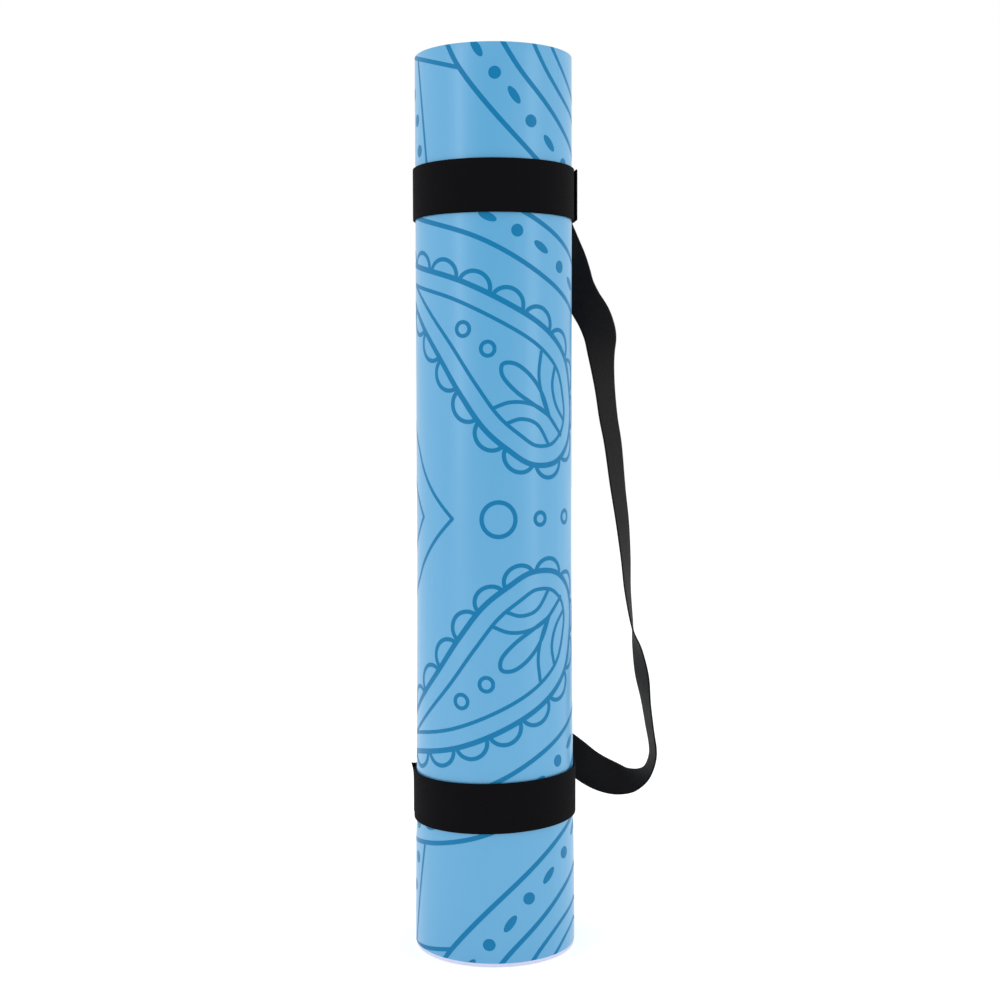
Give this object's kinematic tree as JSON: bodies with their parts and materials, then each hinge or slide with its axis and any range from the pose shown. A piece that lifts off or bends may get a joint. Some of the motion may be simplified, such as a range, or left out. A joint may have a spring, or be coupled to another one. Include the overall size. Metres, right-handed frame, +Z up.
{
  "type": "rolled foam mat with carry strap",
  "caption": "Tightly rolled thin printed foam mat standing on end, held by elastic loops that a webbing carry strap joins.",
  "frame": {"origin": "middle of the roll's lower end, on the surface it stands on", "axes": "+Z up the roll, +X towards the side the carry strap hangs on, -Y towards the front"},
  "size_m": [0.1768, 0.1223, 0.61],
  "materials": {
    "foam": "pale closed-cell foam, smooth matte skin",
    "print": "satin light blue printed film with a teal line pattern",
    "elastic": "black knitted elastic, fine ribs along its length",
    "webbing": "black flat woven webbing, soft sheen",
    "thread": "black polyester thread"
  },
  "bodies": {
    "mat_roll": {"foam_mat": "foam", "printed_layer": "print"},
    "sling": {"carry_strap": "webbing"},
    "upper_grip": {"upper_loop": "elastic", "upper_strap_end": "webbing", "upper_stitching": "thread"},
    "lower_grip": {"lower_loop": "elastic", "lower_strap_end": "webbing", "lower_stitching": "thread"}
  },
  "joints": [
    {"name": "sling_turn", "type": "hinge", "parent": "mat_roll", "child": "sling", "pos_m": [0, 0, 0.3], "axis": [0, 0, 1], "continuous": true},
    {"name": "upper_loop_slide", "type": "slide", "parent": "sling", "child": "upper_grip", "axis": [0, 0, 1], "range_m": [-0.08, 0.11], "deforming": ["carry_strap"]},
    {"name": "lower_loop_slide", "type": "slide", "parent": "sling", "child": "lower_grip", "axis": [0, 0, 1], "range_m": [-0.012, 0.08], "deforming": ["carry_strap"]}
  ]
}
